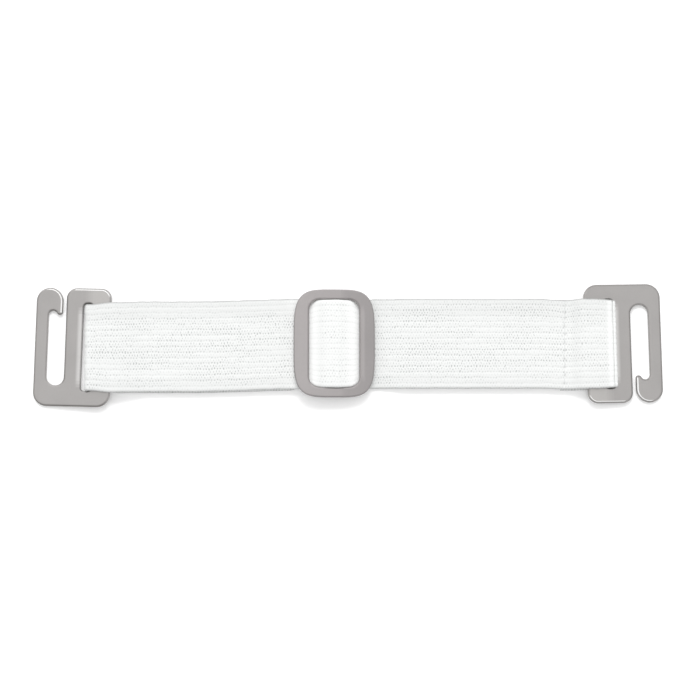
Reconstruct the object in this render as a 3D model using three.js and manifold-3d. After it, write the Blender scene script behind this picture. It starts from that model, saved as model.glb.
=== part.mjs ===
// A shirt sleeve holder, lying open on a flat surface: one strip of ribbed white elastic that runs
// through a metal slide and ends in two flat metal hooks.
// Millimetres, +X along the strip towards its sewn end, +Y across it, +Z up from the surface.
// The origin is on the surface, under the middle of the whole.

import * as THREE from "three";
import { mergeVertices } from "three/addons/utils/BufferGeometryUtils.js";
import Module from "manifold-3d";

const wasm = await Module();
wasm.setup();

const radians = THREE.MathUtils.degToRad;

// Driving dimensions of the elastic.
const band = {
  width: 25,
  thickness: 1.0,
  ribs: 16, // lengthwise, on the outer face
  groove: 0.12, // depth of the furrow between two ribs
  selvedge: 0.3, // how far the rounded edge runs in
  layerGap: 0.1, // air between two layers that lie on each other
  slotWidth: 24.0, // the elastic narrows to pass a hook's slot
  windowWidth: 23.9, // and the window of the slide
};
const clearance = 0.25; // between elastic and metal

// The hook plate, seen from its face with the hook on the left and its mouth at the top.
const plate = {
  length: 21.64,
  height: 33.4,
  thickness: 0.8,
  bevel: 0.12,
  leg: 3.65, // outer leg of the hook
  hookSlot: 4.95, // opening of the hook
  mouth: 0.95, // gap at the hook's mouth
  bandSlot: 2.85, // slot that the elastic goes through
  endBar: 5.54, // bar that the elastic is looped round
  endBarFlare: 0.6, // how much wider it is at the closed end than at the mouth
  bandSlotHeight: 24.6,
  bandSlotRadius: 1.0,
  foot: 5.9, // from the hook's slot to the closed end of the plate
  nibDrop: 7.7, // from the top of the hook's head to the tip of its nib
  nibRadius: 0.85,
  notchRadius: 1.26,
  closedRadius: 3.9, // the two outer corners at the closed end
  armRadius: 2.9,
  barRadius: 2.8,
};

// The slide, a bowed frame with a sunk bar across its middle.
const slide = {
  width: 23.0,
  height: 30.3,
  thickness: 1.4,
  squareness: 4.2, // exponent of the outline's superellipse
  windowWidth: 14.0,
  windowHeight: 24.5,
  windowRadius: 2.9,
  bow: 0.6, // rise of the middle over the two side bars
  bevel: 0.35,
  barWidth: 3.0,
  barThickness: 0.9,
  barSink: 0.55, // underside of the bar below the frame's lowest edge
  barReach: 14.3, // half the bar's length, into the rails
  footLength: 1.8,
  footHeight: 1.6,
};

// Where each metal piece lies. A hook is placed by its end bar and leans in the plane of the
// surface; the slide is tilted up towards the left. Degrees.
const place = {
  leftBar: { x: -69.25, y: -0.5, lean: -1.6 },
  rightBar: { x: 69.35, y: 0.6, lean: 1.3 },
  slide: { x: -3.9, y: 0.65, tilt: 3.3 },
};
// The strip runs straight, apart from a small sideways step on the way to the left hook.
const sway = { from: -45, to: -10, left: -0.15, right: 0.6 };

const floorLayer = band.thickness / 2;
const secondLayer = floorLayer + band.thickness + band.layerGap;

// A hook lies with its outer edge on the surface and its end bar on one layer of the elastic.
const plateReach = plate.length - plate.endBar / 2; // from the end bar's middle to the outer edge
const plateRest = 0.05;
const barRest = band.thickness + clearance;
const plateTilt = Math.asin((barRest - plateRest) / (plateReach - plate.endBar / 2));
const barHeight = barRest + plate.thickness / 2 + (plate.endBar / 2) * Math.sin(plateTilt);

const materials = {
  nickel: new THREE.MeshStandardMaterial({ color: 0xb1aeac, roughness: 0.42, metalness: 0.9 }),
  slideMetal: new THREE.MeshStandardMaterial({ color: 0xb0abab, roughness: 0.48, metalness: 0.9 }),
  elastic: new THREE.MeshStandardMaterial({ color: 0xf3f5f4, roughness: 0.85, metalness: 0 }),
};

// A mesh that carries the node's name.
function named(name, geometry, material) {
  const mesh = new THREE.Mesh(geometry, material);
  mesh.name = name;
  return mesh;
}

// The plate's outline as one closed run of lines and arcs; x = 0 is the middle of the end bar.
function plateShape() {
  const top = plate.height / 2;
  const bottom = -top;
  const right = plate.endBar / 2;
  const closedEnd = right + plate.endBarFlare / 2;
  const mouthEnd = right - plate.endBarFlare / 2;
  const left = -plateReach;
  const slotLeft = left + plate.leg;
  const slotRight = slotLeft + plate.hookSlot;
  const slotEnd = plate.hookSlot / 2;
  const slotEndY = bottom + plate.foot + slotEnd;
  const headRight = slotRight - plate.mouth;
  const headRadius = (headRight - left) / 2;
  const nib = { x: headRight - plate.nibRadius, y: top - plate.nibDrop + plate.nibRadius };
  const notchX = slotLeft + plate.notchRadius;
  const notchY =
    nib.y - Math.sqrt((plate.nibRadius + plate.notchRadius) ** 2 - (nib.x - notchX) ** 2);
  const towardsNib = Math.atan2(nib.y - notchY, nib.x - notchX);

  const shape = new THREE.Shape();
  shape.moveTo(left + plate.closedRadius, bottom);
  shape.lineTo(closedEnd - plate.closedRadius, bottom);
  shape.absarc(
    closedEnd - plate.closedRadius, bottom + plate.closedRadius, plate.closedRadius,
    -Math.PI / 2, 0, false,
  );
  shape.lineTo(mouthEnd, top - plate.armRadius);
  shape.absarc(
    mouthEnd - plate.armRadius, top - plate.armRadius, plate.armRadius,
    0, Math.PI / 2, false,
  );
  shape.lineTo(slotRight + plate.barRadius, top);
  shape.absarc(
    slotRight + plate.barRadius, top - plate.barRadius, plate.barRadius,
    Math.PI / 2, Math.PI, false,
  );
  shape.lineTo(slotRight, slotEndY);
  shape.absarc(slotLeft + slotEnd, slotEndY, slotEnd, 0, -Math.PI, true);
  shape.lineTo(slotLeft, notchY);
  shape.absarc(notchX, notchY, plate.notchRadius, Math.PI, towardsNib, true);
  shape.absarc(nib.x, nib.y, plate.nibRadius, towardsNib - Math.PI, 0, false);
  shape.lineTo(headRight, top - headRadius);
  shape.absarc(left + headRadius, top - headRadius, headRadius, 0, Math.PI, false);
  shape.lineTo(left, bottom + plate.closedRadius);
  shape.absarc(
    left + plate.closedRadius, bottom + plate.closedRadius, plate.closedRadius,
    Math.PI, Math.PI * 1.5, false,
  );
  shape.holes.push(
    roundedRectangle(
      -right - plate.bandSlot, -right, plate.bandSlotHeight / 2, plate.bandSlotRadius,
    ),
  );
  return shape;
}

// A rectangle with round corners, from x0 to x1 and as far above as below the middle line.
function roundedRectangle(x0, x1, halfHeight, radius) {
  const path = new THREE.Path();
  const quarter = Math.PI / 2;
  const corners = [
    [x1 - radius, -halfHeight + radius, 3],
    [x1 - radius, halfHeight - radius, 0],
    [x0 + radius, halfHeight - radius, 1],
    [x0 + radius, -halfHeight + radius, 2],
  ];
  corners.forEach(([x, y, turn]) => {
    path.absarc(x, y, radius, turn * quarter, (turn + 1) * quarter, false);
  });
  path.closePath();
  return path;
}

// A stamped hook, its thickness centred on its own plane.
function hookGeometry() {
  const geometry = new THREE.ExtrudeGeometry(plateShape(), {
    depth: plate.thickness - 2 * plate.bevel,
    bevelEnabled: true,
    bevelThickness: plate.bevel,
    bevelSize: plate.bevel,
    bevelOffset: -plate.bevel,
    bevelSegments: 1,
    curveSegments: 7,
  });
  geometry.translate(0, 0, -plate.thickness / 2 + plate.bevel);
  return geometry;
}

// A hook on the surface: its end bar lies in the elastic's loop, its outer leg touches down.
function hook(name, seat, halfTurns) {
  const mesh = named(name, hookGeometry(), materials.nickel);
  mesh.rotation.z = halfTurns * Math.PI + radians(seat.lean);
  const holder = new THREE.Group();
  holder.position.set(seat.x, seat.y, barHeight);
  holder.rotation.y = (halfTurns ? 1 : -1) * plateTilt;
  holder.add(mesh);
  return holder;
}

// A closed geometry as a solid that can be joined, and a joined solid back as a geometry.
function solidOf(geometry) {
  const bare = geometry.clone();
  bare.deleteAttribute("normal");
  bare.deleteAttribute("uv");
  const merged = mergeVertices(bare, 1e-4);
  return new wasm.Manifold(
    new wasm.Mesh({
      numProp: 3,
      vertProperties: merged.getAttribute("position").array,
      triVerts: new Uint32Array(merged.index.array),
    }),
  );
}

function geometryOf(solid) {
  const mesh = solid.getMesh();
  const geometry = new THREE.BufferGeometry();
  geometry.setAttribute("position", new THREE.BufferAttribute(mesh.vertProperties, 3));
  geometry.setIndex(new THREE.BufferAttribute(mesh.triVerts, 1));
  geometry.computeVertexNormals();
  return geometry;
}

// The slide's frame: a superellipse with a round-cornered window, bowed upwards along its middle.
function slideFrame() {
  const outlineSteps = 52;
  const halfWidth = slide.width / 2;
  const outline = Array.from({ length: outlineSteps }, (_, i) => {
    const angle = (i / outlineSteps) * 2 * Math.PI;
    const power = 2 / slide.squareness;
    const along = Math.sign(Math.cos(angle)) * Math.abs(Math.cos(angle)) ** power;
    const up = Math.sign(Math.sin(angle)) * Math.abs(Math.sin(angle)) ** power;
    return new THREE.Vector2(halfWidth * along, (slide.height / 2) * up);
  });
  const shape = new THREE.Shape(outline);
  const window = roundedRectangle(
    -slide.windowWidth / 2, slide.windowWidth / 2, slide.windowHeight / 2, slide.windowRadius,
  );
  shape.holes.push(new THREE.Path(split(window.getPoints(5), 1.8)));

  const geometry = new THREE.ExtrudeGeometry(shape, {
    depth: slide.thickness - 2 * slide.bevel,
    bevelEnabled: true,
    bevelThickness: slide.bevel,
    bevelSize: slide.bevel,
    bevelOffset: -slide.bevel,
    bevelSegments: 2,
  });
  geometry.translate(0, 0, slide.bevel);
  const spot = geometry.getAttribute("position");
  for (let i = 0; i < spot.count; i++) {
    const rise = slide.bow * (1 - (spot.getX(i) / halfWidth) ** 2);
    spot.setZ(i, spot.getZ(i) + rise);
  }
  return geometry;
}

// The points of a closed outline, with its long straight stretches cut into equal steps.
function split(points, longest) {
  const closed = [...points, points[0]];
  return points.flatMap((point, i) => {
    const next = closed[i + 1];
    const parts = Math.max(1, Math.ceil(point.distanceTo(next) / longest));
    const steps = point.distanceTo(next) < 1e-6 ? 0 : parts;
    return Array.from({ length: steps }, (_, k) => point.clone().lerp(next, k / parts));
  });
}

// The frame with its sunk bar, and the bar's two feet up into the rails, as one solid.
function slideGeometry() {
  const barMiddle = -slide.barSink + slide.barThickness / 2;
  const bar = new THREE.BoxGeometry(slide.barWidth, 2 * slide.barReach, slide.barThickness);
  bar.translate(0, 0, barMiddle);
  let solid = solidOf(slideFrame()).add(solidOf(bar));
  for (const side of [-1, 1]) {
    const foot = new THREE.BoxGeometry(slide.barWidth, slide.footLength, slide.footHeight);
    foot.translate(
      0,
      side * (slide.barReach - slide.footLength / 2),
      -slide.barSink + slide.footHeight / 2,
    );
    solid = solid.add(solidOf(foot));
  }
  return geometryOf(solid);
}

// The slide on the strip: its right bar rests on one layer, its left bar on two.
function slideOnBand() {
  const mesh = named("slide_buckle", slideGeometry(), materials.slideMetal);
  const tilt = radians(place.slide.tilt);
  const middle = band.thickness + clearance + (slide.width / 2) * Math.sin(tilt);
  mesh.position.set(place.slide.x, place.slide.y, middle);
  mesh.rotation.y = tilt;
  return mesh;
}

// The elastic's route, seen from its edge, as legs from the cut end sewn behind the slide.
// Each leg ends at x and z, the middle of the elastic's thickness, and gives what it has there:
// its width, its lean against the crosswise line in degrees, and a shift to the side.
// run is straight, rise is a level-ended S, and turn is half a circle that bulges by its sign.
function bandRoute() {
  const { leftBar, rightBar: bar } = place;
  const lean = bar.lean;
  const s = place.slide.x;
  const full = band.width;
  const inSlot = band.slotWidth;
  const inWindow = band.windowWidth;
  const inCorner = inWindow - 0.8; // past the window's round corners
  const overSunkBar = 3.0;
  const overSlideBar = overSunkBar + band.thickness + band.layerGap;
  const leftTop = 2.85;
  const rightTop = 2.9;
  const stitchX = 61.0;
  return [
    { leg: "start", x: s - 4.3, z: secondLayer, width: inCorner },
    { leg: "run", x: s - 3.6, z: secondLayer, steps: 1, width: inCorner },
    { leg: "rise", x: s - 1.3, z: overSunkBar, steps: 5, width: inCorner },
    { leg: "run", x: s + 1.35, z: overSunkBar, steps: 1, width: inCorner },
    { leg: "turn", bulge: 1, x: s + 1.35, z: floorLayer, steps: 7, width: inCorner },
    { leg: "run", x: s - 7.5, z: floorLayer, steps: 2, width: inCorner },
    { leg: "run", x: s - 13, z: floorLayer, steps: 2, width: full },
    { leg: "run", x: leftBar.x + 6, z: floorLayer, steps: 5, width: full },
    { leg: "run", x: leftBar.x - 3.25, z: floorLayer, steps: 2, width: inSlot, side: -0.3 },
    { leg: "turn", bulge: -1, x: leftBar.x - 3.25, z: leftTop, steps: 7, width: inSlot, side: -0.3 },
    { leg: "rise", x: leftBar.x + 2.9, z: 3.25, steps: 2, width: 24.3, side: -0.3 },
    { leg: "rise", x: leftBar.x + 14, z: secondLayer, steps: 5, width: full },
    { leg: "run", x: s - 14, z: secondLayer, steps: 5, width: full },
    { leg: "rise", x: s - 8, z: 1.7, steps: 2, width: 24 },
    { leg: "rise", x: s - 4, z: 2.74, steps: 4, width: inCorner },
    { leg: "rise", x: s - 1.6, z: overSlideBar, steps: 5, width: inWindow },
    { leg: "run", x: s + 1.5, z: overSlideBar, steps: 1, width: inWindow },
    { leg: "rise", x: s + 7.8, z: floorLayer, steps: 7, width: inCorner },
    { leg: "run", x: s + 13.5, z: floorLayer, steps: 2, width: full },
    { leg: "run", x: stitchX - 7, z: floorLayer, steps: 1, width: full },
    { leg: "rise", x: stitchX - 2, z: secondLayer, steps: 4, width: 24.7 },
    { leg: "run", x: stitchX + 1, z: secondLayer, steps: 1, width: 24.7 },
    { leg: "rise", x: bar.x - 2.8, z: 3.25, steps: 4, width: 24.4, lean: 1 },
    { leg: "rise", x: bar.x + 3.65, z: rightTop, steps: 2, width: inSlot, lean },
    { leg: "turn", bulge: 1, x: bar.x + 3.65, z: floorLayer, steps: 7, width: inSlot, lean },
    { leg: "run", x: bar.x - 4, z: floorLayer, steps: 2, width: full, lean: 0.8, side: -0.2 },
    { leg: "run", x: stitchX - 1.5, z: floorLayer, steps: 1, width: full, side: -0.3 },
  ];
}

// The curve of one leg in the plane of x and z.
function legCurve(from, to) {
  const start = new THREE.Vector2(from.x, from.z);
  const end = new THREE.Vector2(to.x, to.z);
  if (to.leg === "turn") {
    const upwards = to.z > from.z;
    const first = upwards ? -Math.PI / 2 : Math.PI / 2;
    const clockwise = upwards !== to.bulge > 0;
    const radius = Math.abs(to.z - from.z) / 2;
    return new THREE.EllipseCurve(
      from.x, (from.z + to.z) / 2, radius, radius, first, -first, clockwise,
    );
  }
  if (to.leg === "rise") {
    const third = (to.x - from.x) / 3;
    return new THREE.CubicBezierCurve(
      start,
      new THREE.Vector2(from.x + third, from.z),
      new THREE.Vector2(to.x - third, to.z),
      end,
    );
  }
  return new THREE.LineCurve(start, end);
}

// Stations along the route: the middle, the direction across the thickness, and the row's values.
function bandStations() {
  const rows = bandRoute().map((row) => ({ lean: 0, side: 0, ...row }));
  const stations = [];
  rows.slice(1).forEach((to, i) => {
    const from = rows[i];
    const curve = legCurve(from, to);
    const first = i === 0 ? 0 : 1;
    for (let k = first; k <= to.steps; k++) {
      const t = k / to.steps;
      const blend = THREE.MathUtils.smoothstep(t, 0, 1);
      const middle = curve.getPoint(t);
      const tangent = curve.getTangent(t);
      stations.push({
        middle,
        normal: new THREE.Vector2(-tangent.y, tangent.x),
        width: THREE.MathUtils.lerp(from.width, to.width, blend),
        lean: THREE.MathUtils.lerp(from.lean, to.lean, blend),
        side: THREE.MathUtils.lerp(from.side, to.side, blend),
      });
    }
  });
  return stations;
}

// How far the strip's middle line lies to the side of the middle at a place along it.
function swayAt(x) {
  const share = THREE.MathUtils.smoothstep(x, sway.from, sway.to);
  return THREE.MathUtils.lerp(sway.left, sway.right, share);
}

// The outline across the strip, from -1 to 1 both ways: ribs and furrows on the outer face, which
// shows all round its loops, and a plain inner face.
function bandSection() {
  const flat = 1 - (2 * band.selvedge) / band.width;
  const furrow = 1 - (2 * band.groove) / band.thickness;
  const edge = 0.4; // share of the thickness that the blunt edge keeps
  const outerFace = Array.from({ length: 2 * band.ribs + 1 }, (_, i) => {
    const betweenRibs = i % 2 === 0 && i > 0 && i < 2 * band.ribs;
    return { across: flat * (i / band.ribs - 1), depth: betweenRibs ? furrow : 1 };
  });
  return [
    ...outerFace,
    { across: 1, depth: edge },
    { across: 1, depth: -edge },
    { across: flat, depth: -1 },
    { across: -flat, depth: -1 },
    { across: -1, depth: -edge },
    { across: -1, depth: edge },
  ];
}

// The strip lofted through its stations, and closed at its two cut ends.
function bandGeometry() {
  const section = bandSection();
  const stations = bandStations();
  const positions = [];
  for (const { middle, normal, width, lean, side } of stations) {
    const slope = Math.tan(radians(lean));
    for (const { across, depth } of section) {
      const y = (across * width) / 2;
      const out = (depth * band.thickness) / 2;
      positions.push(
        middle.x + normal.x * out - slope * y,
        swayAt(middle.x) + side + y,
        middle.y + normal.y * out,
      );
    }
  }
  const faces = [];
  const count = section.length;
  for (let i = 0; i + 1 < stations.length; i++) {
    for (let k = 0; k < count; k++) {
      const a = i * count + k;
      const b = i * count + ((k + 1) % count);
      faces.push(a, a + count, b, b, a + count, b + count);
    }
  }
  const outline = section.map(({ across, depth }) => {
    return new THREE.Vector2((across * band.width) / 2, (depth * band.thickness) / 2);
  });
  const last = (stations.length - 1) * count;
  for (const [a, b, c] of THREE.ShapeUtils.triangulateShape(outline, [])) {
    faces.push(a, c, b);
    faces.push(last + a, last + b, last + c);
  }
  const geometry = new THREE.BufferGeometry();
  geometry.setAttribute("position", new THREE.Float32BufferAttribute(positions, 3));
  geometry.setIndex(faces);
  geometry.computeVertexNormals();
  return geometry;
}

// The whole, moved so that the origin lies on the surface under the middle of it.
function sleeveHolder() {
  const whole = new THREE.Group();
  whole.add(hook("left_hook_plate", place.leftBar, 0));
  whole.add(hook("right_hook_plate", place.rightBar, 1));
  whole.add(slideOnBand());
  whole.add(named("elastic_band", bandGeometry(), materials.elastic));
  const box = new THREE.Box3().setFromObject(whole, true);
  const centre = box.getCenter(new THREE.Vector3());
  whole.position.set(-centre.x, -centre.y, -box.min.z);
  whole.updateMatrixWorld(true);
  return whole;
}

export default sleeveHolder();
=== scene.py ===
import math

import bmesh
import bpy
import numpy as np
from bpy.props import FloatProperty, FloatVectorProperty, IntProperty, PointerProperty
from mathutils import Matrix, Vector


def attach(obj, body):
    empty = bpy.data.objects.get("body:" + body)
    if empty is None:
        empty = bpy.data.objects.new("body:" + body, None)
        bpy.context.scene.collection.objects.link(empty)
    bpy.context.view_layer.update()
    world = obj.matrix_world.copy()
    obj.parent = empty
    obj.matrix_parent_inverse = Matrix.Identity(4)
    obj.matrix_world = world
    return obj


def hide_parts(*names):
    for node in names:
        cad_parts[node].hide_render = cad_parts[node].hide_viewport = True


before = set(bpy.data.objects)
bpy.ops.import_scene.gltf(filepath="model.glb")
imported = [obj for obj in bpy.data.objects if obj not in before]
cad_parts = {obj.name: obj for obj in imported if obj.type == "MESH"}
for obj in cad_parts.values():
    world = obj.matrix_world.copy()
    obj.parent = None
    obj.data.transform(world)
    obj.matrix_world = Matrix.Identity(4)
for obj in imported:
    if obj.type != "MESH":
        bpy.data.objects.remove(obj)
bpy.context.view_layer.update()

bl_info = {
    "name": "Shirt sleeve holder",
    "version": (1, 0, 0),
    "blender": (4, 5, 0),
    "location": "3D View > Sidebar > Sleeve holder",
    "description": "A strip of ribbed elastic with a slide and a flat hook at each end",
    "category": "Add Mesh",
}

MM = 0.001
# From the strip's own centre lines to the frame, whose origin is under the middle of the whole.
SHIFT = Vector((-0.01869, -0.23251, 0.0)) * MM


def size(name, description, millimetres, least=0.0):
    """A length that a user may change, kept in metres."""
    return FloatProperty(
        name=name, description=description, default=millimetres * MM,
        min=least, precision=5, unit="LENGTH", subtype="DISTANCE",
    )


def spot(name, description, millimetres):
    """A place along or across the strip, which may be below zero."""
    return size(name, description, millimetres, least=-1.0)


def turn(name, description, degrees):
    """An angle that a user may change, kept in radians."""
    return FloatProperty(
        name=name, description=description, default=math.radians(degrees),
        precision=3, unit="ROTATION", subtype="ANGLE",
    )


def number(name, description, value):
    return FloatProperty(name=name, description=description, default=value, min=0.0)


def colour(name, description, value):
    return FloatVectorProperty(
        name=name, description=description, default=value,
        size=3, min=0.0, max=1.0, subtype="COLOR",
    )


# Sizes and colours


class HookSizes(bpy.types.PropertyGroup):
    """The stamped hook plates, and where each lies."""

    length: size("Length", "From the hook's outer edge to the end bar's edge", 21.64)
    height: size("Height", "Across the strip", 33.4)
    thickness: size("Thickness", "Of the sheet metal", 0.8)
    leg: size("Outer leg", "Width of the hook's outer leg", 3.65)
    hook_slot: size("Hook slot", "Width of the hook's opening", 4.95)
    mouth: size("Mouth", "Gap through which the other hook enters", 0.95)
    band_slot: size("Band slot", "Width of the slot for the elastic", 2.55)
    band_slot_height: size("Band slot height", "Length of that slot", 24.6)
    band_slot_radius: size("Band slot radius", "Corners of that slot", 1.0)
    end_bar: size("End bar", "Width of the bar that the elastic is looped round", 5.54)
    end_bar_flare: size("End bar flare", "How much wider it is at the closed end", 0.6)
    foot: size("Foot", "From the hook's slot to the closed end", 5.9)
    nib_drop: size("Nib drop", "From the top of the head to the tip of the nib", 7.7)
    nib_radius: size("Nib radius", "Rounding of the nib", 0.85)
    notch_radius: size("Notch radius", "Rounding behind the nib", 1.26)
    closed_radius: size("Closed end radius", "Corners at the closed end", 3.9)
    arm_radius: size("Arm radius", "Corner of the arm beside the mouth", 2.9)
    bar_radius: size("Bar radius", "Corner of the middle bar at the mouth", 2.8)
    rim: size("Rim", "Rounding of the upper rims", 0.62)
    under_rim: size("Lower rim", "Rounding of the lower rims", 0.12)
    bar_rest: size("Bar rest", "Underside of the end bar over the surface", 1.25)
    edge_rest: size("Edge rest", "Outer edge over the surface", 0.05)
    left_x: spot("Left hook", "Middle of the left end bar along the strip", -69.25)
    left_y: spot("Left hook across", "Middle of that bar across the strip", -0.5)
    left_lean: turn("Left lean", "How far that hook is turned on the surface", -1.6)
    right_x: spot("Right hook", "Middle of the right end bar along the strip", 69.35)
    right_y: spot("Right hook across", "Middle of that bar across the strip", 0.6)
    right_lean: turn("Right lean", "How far that hook is turned on the surface", 1.3)
    face_colour: colour("Face", "Satin nickel of the faces", (0.430, 0.416, 0.408))
    # The arm's brighter colour is a painted reflection.
    worn_colour: colour("Worn arm", "Brighter metal of the arm", (0.507, 0.493, 0.480))
    # The white rims are a painted highlight, a colour that stands in for the light they catch.
    rolled_colour: colour("Rolled rims", "Bright metal of the rolled rims", (1.0, 0.99, 0.98))
    # The light ridge beside the band slot is a painted highlight.
    rubbed_colour: colour("Rubbed rims", "Rims that the elastic polishes", (0.61, 0.60, 0.59))
    # The darker rims are painted shade.
    sheared_colour: colour("Cut rims", "Duller metal of the cut rims", (0.228, 0.219, 0.211))


class SlideSizes(bpy.types.PropertyGroup):
    """The slide and its sunk middle bar."""

    width: size("Width", "Along the strip", 22.6)
    height: size("Height", "Across the strip", 30.3)
    thickness: size("Thickness", "Of the frame", 1.4)
    squareness: number("Squareness", "Exponent of the outline's superellipse", 4.2)
    window_width: size("Window width", "Opening along the strip", 14.0)
    window_height: size("Window height", "Opening across the strip", 24.5)
    window_radius: size("Window radius", "Corners of the opening", 2.9)
    bow: size("Bow", "Rise of the middle over the side bars", 0.6)
    outer_rim: size("Outer rim", "Rounding of the outer rim", 0.45)
    window_rim: size("Window rim", "Rounding of the window's rim", 0.65)
    under_rim: size("Under rim", "Rounding of the rims underneath", 0.2)
    bar_width: size("Bar width", "Of the sunk bar", 3.0)
    bar_thickness: size("Bar thickness", "Of the sunk bar", 0.9)
    bar_sink: size("Bar sink", "Underside of the bar below the frame", 0.55)
    bar_reach: size("Bar reach", "Half the bar's length", 14.3)
    foot_length: size("Foot length", "Of the bar's ends, where they rise into the frame", 1.8)
    foot_height: size("Foot height", "Of the bar's ends", 1.6)
    x: spot("Place along", "Middle of the slide along the strip", -3.9)
    y: spot("Place across", "Middle of the slide across the strip", 0.65)
    z: size("Rest height", "Middle of the frame's underside over the surface", 1.912)
    tilt: turn("Tilt", "How far the left side is higher than the right", 3.3)
    face_colour: colour("Face", "Satin metal of the frame", (0.430, 0.407, 0.405))
    # The shaded side is painted shade in the metal's colour.
    shaded_colour: colour("Shaded side", "Side that is turned away", (0.373, 0.353, 0.352))
    # The rims' darker colour is painted shade.
    rim_colour: colour("Rim", "Duller metal of the rims", (0.34, 0.322, 0.322))


class BandSizes(bpy.types.PropertyGroup):
    """The ribbed elastic strip and its stitches."""

    width: size("Width", "Of the flat strip", 25.0)
    thickness: size("Thickness", "From the ribs' tops to those of the other face", 1.0)
    ribs: IntProperty(name="Ribs", description="Lengthwise ribs on each face", default=16, min=4)
    furrow: size("Furrow", "Depth between two ribs", 0.06)
    pick: size("Pick", "Distance between two weft threads along the strip", 0.787)
    slot_width: size("Width in the slots", "The strip narrows to pass a hook's slot", 24.2)
    sewn_width: size("Width of the sewn end", "The strip narrows round the sunk bar", 24.0)
    stitch: size("Stitch", "Length of one stitch", 2.3)
    thread: size("Thread", "Thickness of the sewing thread", 0.22)
    seam_x: spot("Seam", "Where the right loop is sewn", 60.78)
    # A glow of the elastic's own, painted light that lifts its shade.
    brightener: number("Brightener", "Light given back", 0.09)
    yarn_colour: colour("Yarn", "White elastic", (0.664, 0.673, 0.666))
    # Partly the smoother stretched elastic, partly painted light that lifts its shade beside the slide
    # and in the loops.
    stretched_colour: colour("Stretched", "Smoother elastic where it is stretched", (0.84, 0.848, 0.84))
    gap_colour: colour("Gaps", "Between the threads", (0.30, 0.314, 0.308))
    thread_colour: colour("Thread", "White sewing thread", (0.70, 0.71, 0.705))
    twist_colour: colour("Thread's twist", "Between the strands of the thread", (0.50, 0.51, 0.505))


class StageSizes(bpy.types.PropertyGroup):
    """The surface, the light and the camera."""

    distance: size("Camera distance", "From the camera to what it looks at", 562.0)
    elevation: turn("Camera elevation", "Above the surface, from the front", 85.0)
    lens: number("Lens", "Focal length", 102.9)
    sky: number("Sky", "Strength of the light from all round", 1.45)
    window: number("Window", "Extra light from one side", 0.24)
    far_side: number("Far side", "Share of light opposite to it", 0.62)
    key: number("Key", "Power of the soft lamp", 5.2)
    table: number("Table", "Glow of the lit surface", 0.12)
    floor_colour: colour("Floor", "Pale surface", (0.94, 0.94, 0.94))


# Shaping values


def smooth(low, high, value):
    """From 0 at the first value to 1 at the second, with soft ends."""
    share = np.clip((value - low) / (high - low), 0, 1)
    return share * share * (3 - 2 * share)


def bell(value, middle, spread):
    """1 at the middle, and nearly nothing at twice the spread from it."""
    return np.exp(-(((value - middle) / spread) ** 2))


def waves(value, seed, *lengths):
    """A smooth, repeatable unevenness from -1 to 1."""
    chance = np.random.default_rng(seed)
    total = sum(
        np.sin(value * (2 * math.pi / length) + chance.uniform(0, 2 * math.pi))
        for length in lengths
    )
    return total / len(lengths)


def both_ways(places):
    """Each place below and above zero."""
    return [way * place for place in places for way in (-1, 1)]


# Modelling by hand


def only(obj):
    """Selects this object alone."""
    if bpy.context.object and bpy.context.object.mode != "OBJECT":
        bpy.ops.object.mode_set(mode="OBJECT")
    bpy.ops.object.select_all(action="DESELECT")
    obj.select_set(True)
    bpy.context.view_layer.objects.active = obj


def shape(obj):
    """Opens a piece in edit mode."""
    only(obj)
    bpy.ops.object.mode_set(mode="EDIT")


def done():
    bpy.ops.object.mode_set(mode="OBJECT")


def pick(obj, kind, test):
    """Selects the verts, edges or faces that pass the test, and says how many."""
    bpy.ops.mesh.select_mode(type={"verts": "VERT", "edges": "EDGE", "faces": "FACE"}[kind])
    bpy.ops.mesh.select_all(action="DESELECT")
    working = bmesh.from_edit_mesh(obj.data)
    found = [element for element in getattr(working, kind) if test(element)]
    for element in found:
        element.select_set(True)
    bmesh.update_edit_mesh(obj.data)
    return len(found)


def settle(obj, place=None):
    """Puts the object's place into its mesh, so that the object itself sits at the origin."""
    only(obj)
    if place is not None:
        obj.matrix_world = place @ obj.matrix_world
    bpy.ops.object.transform_apply(location=True, rotation=True, scale=True)


def block(name, low, high):
    """A block between two corners, or a flat face where both are at one height."""
    flat = low[2] == high[2]
    add = bpy.ops.mesh.primitive_plane_add if flat else bpy.ops.mesh.primitive_cube_add
    bpy.ops.object.select_all(action="DESELECT")
    add(size=1, location=[(a + b) / 2 for a, b in zip(low, high)])
    obj = bpy.context.object
    obj.name = name
    obj.scale = [(b - a) or 1 for a, b in zip(low, high)]
    settle(obj)
    return obj


def bisect(axis, place):
    """Scores what is selected along a plane across an axis."""
    normal = [float(axis == name) for name in "XYZ"]
    bpy.ops.mesh.bisect(plane_co=[place * part for part in normal], plane_no=normal)


def cut(axis, *places):
    """Scores the whole piece."""
    for place in places:
        bpy.ops.mesh.select_all(action="SELECT")
        bisect(axis, place)


def score(obj, axis, places, test):
    """Scores the faces that pass the test."""
    for place in places:
        pick(obj, "faces", test)
        bisect(axis, place)


def take_corner(obj, x, y):
    """Selects the one corner at this place."""
    found = pick(obj, "verts", lambda v: math.hypot(v.co.x - x, v.co.y - y) < 0.01 * MM)
    if found != 1:
        raise RuntimeError(f"{obj.name}: {found} corners at {x / MM:.3f}, {y / MM:.3f}")


def round_corner(obj, x, y, reach, steps, profile=0.5):
    """Rounds one corner of a flat face, reaching that far along its two sides."""
    take_corner(obj, x, y)
    bpy.ops.mesh.bevel(
        offset=reach, offset_type="OFFSET", segments=steps, profile=profile,
        affect="VERTICES", clamp_overlap=False,
    )


def merge(distance):
    """Merges all points that are nearer to each other than this."""
    bpy.ops.mesh.select_all(action="SELECT")
    bpy.ops.mesh.remove_doubles(threshold=distance)


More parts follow.
